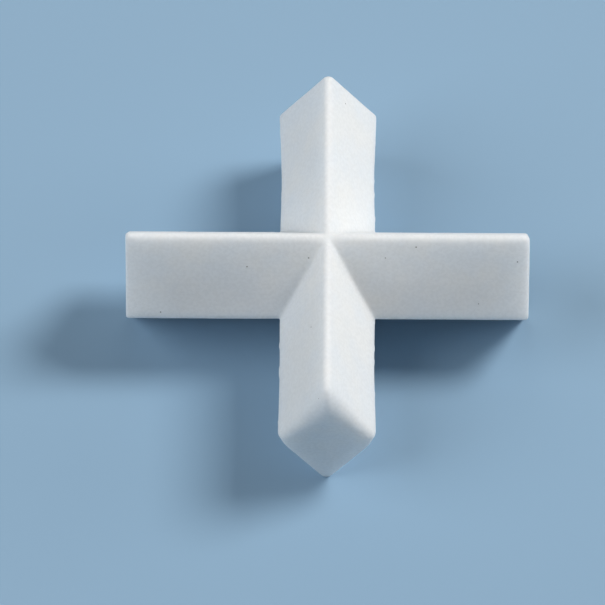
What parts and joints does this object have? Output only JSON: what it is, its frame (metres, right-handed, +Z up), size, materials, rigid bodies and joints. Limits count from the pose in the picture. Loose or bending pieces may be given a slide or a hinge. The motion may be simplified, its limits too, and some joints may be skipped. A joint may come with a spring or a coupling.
{
  "type": "magnetic stir bar",
  "caption": "Cross-shaped magnetic stir bar of white PTFE: bars of rhombus section with a ridge above and below, moulded over a sealed rod magnet.",
  "frame": {"origin": "on the surface that the cross stands on, under the crossing of its lower ridges", "axes": "+X along the bar that holds the magnet, +Y along the plain bar, +Z up"},
  "size_m": [0.02, 0.0186, 0.008],
  "materials": {
    "ptfe": "sintered PTFE, waxy satin, slightly translucent at the edges",
    "magnet_alloy": "cast magnet alloy, ground round the outside"
  },
  "bodies": {
    "root": {"ptfe_jacket": "ptfe", "rod_magnet": "magnet_alloy"}
  },
  "joints": []
}
